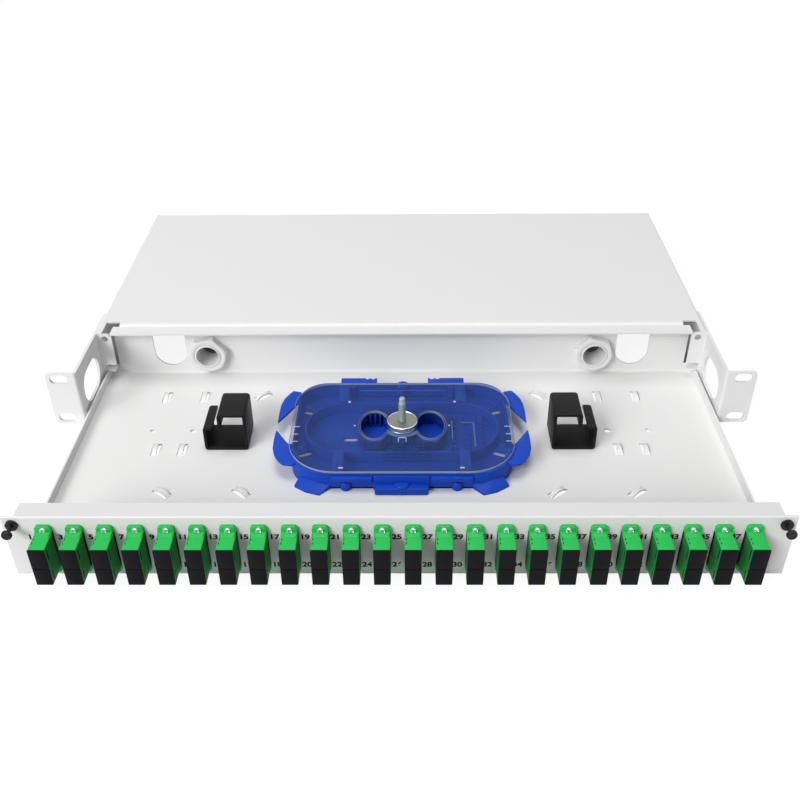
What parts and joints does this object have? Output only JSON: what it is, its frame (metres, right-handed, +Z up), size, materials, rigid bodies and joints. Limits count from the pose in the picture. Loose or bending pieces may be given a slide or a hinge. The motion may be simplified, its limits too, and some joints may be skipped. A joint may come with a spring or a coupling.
{
  "type": "sliding fibre patch drawer",
  "caption": "Rack drawer of sheet steel that slides out of its casing, with fibre adapters along the front, a splice cassette, cable clips and rear cable glands.",
  "frame": {"origin": "centre of the four ear slots on the rear face of the ear flanges, where the rack rails meet them", "axes": "+X to the right seen from the front of the rack, +Y to the rear of the rack, +Z up; rest is the drawer as pictured, pulled out"},
  "size_m": [0.4826, 0.4163, 0.0436],
  "materials": {
    "casing_paint": "smooth light grey powder coat",
    "ear_paint": "smooth light grey powder coat",
    "tray_paint": "smooth light grey powder coat",
    "panel_paint": "smooth light grey powder coat",
    "screw_steel": "zinc plated",
    "adapter_plastic": "satin green moulding",
    "cap_plastic": "matt black moulding",
    "latch_plastic": "black nylon",
    "clip_plastic": "satin black moulding",
    "gland_plastic": "light grey nylon",
    "seal_rubber": "matt black rubber",
    "cassette_plastic": "satin blue moulding",
    "cover_plastic": "clear smoked sheet",
    "stud_metal": "dull zinc plated thread",
    "washer_metal": "plain plated steel",
    "nut_metal": "plated, knurled edge"
  },
  "bodies": {
    "casing_body": {"casing": "casing_paint", "ear_left": "ear_paint", "ear_right": "ear_paint", "ear_screws": "screw_steel"},
    "drawer": {"drawer_tray": "tray_paint", "tray_ties": "tray_paint", "tray_rear_wall": "tray_paint", "front_panel": "panel_paint", "adapters_01_06": "adapter_plastic", "adapters_07_12": "adapter_plastic", "adapters_13_18": "adapter_plastic", "adapters_19_24": "adapter_plastic", "latch_grommet_left": "latch_plastic", "latch_grommet_right": "latch_plastic", "cable_clip_left": "clip_plastic", "cable_clip_right": "clip_plastic", "cassette_base": "cassette_plastic", "cassette_routing": "cassette_plastic", "splice_holder": "cassette_plastic", "cassette_cover": "cover_plastic", "cassette_stud": "stud_metal", "gland_body_left": "gland_plastic", "gland_body_right": "gland_plastic", "gland_locknut_left": "gland_plastic", "gland_locknut_right": "gland_plastic", "gland_seal_left": "seal_rubber", "gland_seal_right": "seal_rubber"},
    "washer": {"stud_washer": "washer_metal"},
    "nut": {"thumb_nut": "nut_metal"},
    "plunger_left": {"latch_plunger_left": "latch_plastic"},
    "plunger_right": {"latch_plunger_right": "latch_plastic"},
    "dome_left": {"gland_dome_left": "gland_plastic"},
    "dome_right": {"gland_dome_right": "gland_plastic"},
    "rear_cap_set": {"rear_caps": "cap_plastic"},
    "cap_pair_01": {"dust_caps_01": "cap_plastic"},
    "cap_pair_02": {"dust_caps_02": "cap_plastic"},
    "cap_pair_03": {"dust_caps_03": "cap_plastic"},
    "cap_pair_04": {"dust_caps_04": "cap_plastic"},
    "cap_pair_05": {"dust_caps_05": "cap_plastic"},
    "cap_pair_06": {"dust_caps_06": "cap_plastic"},
    "cap_pair_07": {"dust_caps_07": "cap_plastic"},
    "cap_pair_08": {"dust_caps_08": "cap_plastic"},
    "cap_pair_09": {"dust_caps_09": "cap_plastic"},
    "cap_pair_10": {"dust_caps_10": "cap_plastic"},
    "cap_pair_11": {"dust_caps_11": "cap_plastic"},
    "cap_pair_12": {"dust_caps_12": "cap_plastic"},
    "cap_pair_13": {"dust_caps_13": "cap_plastic"},
    "cap_pair_14": {"dust_caps_14": "cap_plastic"},
    "cap_pair_15": {"dust_caps_15": "cap_plastic"},
    "cap_pair_16": {"dust_caps_16": "cap_plastic"},
    "cap_pair_17": {"dust_caps_17": "cap_plastic"},
    "cap_pair_18": {"dust_caps_18": "cap_plastic"},
    "cap_pair_19": {"dust_caps_19": "cap_plastic"},
    "cap_pair_20": {"dust_caps_20": "cap_plastic"},
    "cap_pair_21": {"dust_caps_21": "cap_plastic"},
    "cap_pair_22": {"dust_caps_22": "cap_plastic"},
    "cap_pair_23": {"dust_caps_23": "cap_plastic"},
    "cap_pair_24": {"dust_caps_24": "cap_plastic"}
  },
  "joints": [
    {"name": "drawer_slide", "type": "slide", "parent": "casing_body", "child": "drawer", "axis": [0, 1, 0], "range_m": [-0.0093, 0.195]},
    {"name": "nut_lift", "type": "slide", "parent": "drawer", "child": "washer", "axis": [0, 0, 1], "range_m": [0, 0.01845]},
    {"name": "nut_spin", "type": "hinge", "parent": "washer", "child": "nut", "pos_m": [0.0018, -0.027, 0], "axis": [0, 0, 1], "range_deg": [0, 8280]},
    {"name": "plunger_left_push", "type": "slide", "parent": "drawer", "child": "plunger_left", "axis": [0, 1, 0], "range_m": [0, 0.0056]},
    {"name": "dome_left_turn", "type": "hinge", "parent": "drawer", "child": "dome_left", "pos_m": [-0.1425, 0.08, -0.0018], "axis": [0, 1, 0], "range_deg": [0, 720]},
    {"name": "plunger_right_push", "type": "slide", "parent": "drawer", "child": "plunger_right", "axis": [0, 1, 0], "range_m": [0, 0.0056]},
    {"name": "dome_right_turn", "type": "hinge", "parent": "drawer", "child": "dome_right", "pos_m": [0.1425, 0.08, -0.0018], "axis": [0, 1, 0], "range_deg": [0, 720]},
    {"name": "rear_caps_pull", "type": "slide", "parent": "drawer", "child": "rear_cap_set", "axis": [0, 1, 0], "range_m": [0, 0.012]},
    {"name": "dust_caps_01_pull", "type": "slide", "parent": "drawer", "child": "cap_pair_01", "axis": [0, -1, 0], "range_m": [0, 0.012]},
    {"name": "dust_caps_02_pull", "type": "slide", "parent": "drawer", "child": "cap_pair_02", "axis": [0, -1, 0], "range_m": [0, 0.012]},
    {"name": "dust_caps_03_pull", "type": "slide", "parent": "drawer", "child": "cap_pair_03", "axis": [0, -1, 0], "range_m": [0, 0.012]},
    {"name": "dust_caps_04_pull", "type": "slide", "parent": "drawer", "child": "cap_pair_04", "axis": [0, -1, 0], "range_m": [0, 0.012]},
    {"name": "dust_caps_05_pull", "type": "slide", "parent": "drawer", "child": "cap_pair_05", "axis": [0, -1, 0], "range_m": [0, 0.012]},
    {"name": "dust_caps_06_pull", "type": "slide", "parent": "drawer", "child": "cap_pair_06", "axis": [0, -1, 0], "range_m": [0, 0.012]},
    {"name": "dust_caps_07_pull", "type": "slide", "parent": "drawer", "child": "cap_pair_07", "axis": [0, -1, 0], "range_m": [0, 0.012]},
    {"name": "dust_caps_08_pull", "type": "slide", "parent": "drawer", "child": "cap_pair_08", "axis": [0, -1, 0], "range_m": [0, 0.012]},
    {"name": "dust_caps_09_pull", "type": "slide", "parent": "drawer", "child": "cap_pair_09", "axis": [0, -1, 0], "range_m": [0, 0.012]},
    {"name": "dust_caps_10_pull", "type": "slide", "parent": "drawer", "child": "cap_pair_10", "axis": [0, -1, 0], "range_m": [0, 0.012]},
    {"name": "dust_caps_11_pull", "type": "slide", "parent": "drawer", "child": "cap_pair_11", "axis": [0, -1, 0], "range_m": [0, 0.012]},
    {"name": "dust_caps_12_pull", "type": "slide", "parent": "drawer", "child": "cap_pair_12", "axis": [0, -1, 0], "range_m": [0, 0.012]},
    {"name": "dust_caps_13_pull", "type": "slide", "parent": "drawer", "child": "cap_pair_13", "axis": [0, -1, 0], "range_m": [0, 0.012]},
    {"name": "dust_caps_14_pull", "type": "slide", "parent": "drawer", "child": "cap_pair_14", "axis": [0, -1, 0], "range_m": [0, 0.012]},
    {"name": "dust_caps_15_pull", "type": "slide", "parent": "drawer", "child": "cap_pair_15", "axis": [0, -1, 0], "range_m": [0, 0.012]},
    {"name": "dust_caps_16_pull", "type": "slide", "parent": "drawer", "child": "cap_pair_16", "axis": [0, -1, 0], "range_m": [0, 0.012]},
    {"name": "dust_caps_17_pull", "type": "slide", "parent": "drawer", "child": "cap_pair_17", "axis": [0, -1, 0], "range_m": [0, 0.012]},
    {"name": "dust_caps_18_pull", "type": "slide", "parent": "drawer", "child": "cap_pair_18", "axis": [0, -1, 0], "range_m": [0, 0.012]},
    {"name": "dust_caps_19_pull", "type": "slide", "parent": "drawer", "child": "cap_pair_19", "axis": [0, -1, 0], "range_m": [0, 0.012]},
    {"name": "dust_caps_20_pull", "type": "slide", "parent": "drawer", "child": "cap_pair_20", "axis": [0, -1, 0], "range_m": [0, 0.012]},
    {"name": "dust_caps_21_pull", "type": "slide", "parent": "drawer", "child": "cap_pair_21", "axis": [0, -1, 0], "range_m": [0, 0.012]},
    {"name": "dust_caps_22_pull", "type": "slide", "parent": "drawer", "child": "cap_pair_22", "axis": [0, -1, 0], "range_m": [0, 0.012]},
    {"name": "dust_caps_23_pull", "type": "slide", "parent": "drawer", "child": "cap_pair_23", "axis": [0, -1, 0], "range_m": [0, 0.012]},
    {"name": "dust_caps_24_pull", "type": "slide", "parent": "drawer", "child": "cap_pair_24", "axis": [0, -1, 0], "range_m": [0, 0.012]}
  ],
  "couplings": [
    {"joint": "nut_lift", "follows": "nut_spin", "m_per_rad": 0.00012732}
  ]
}
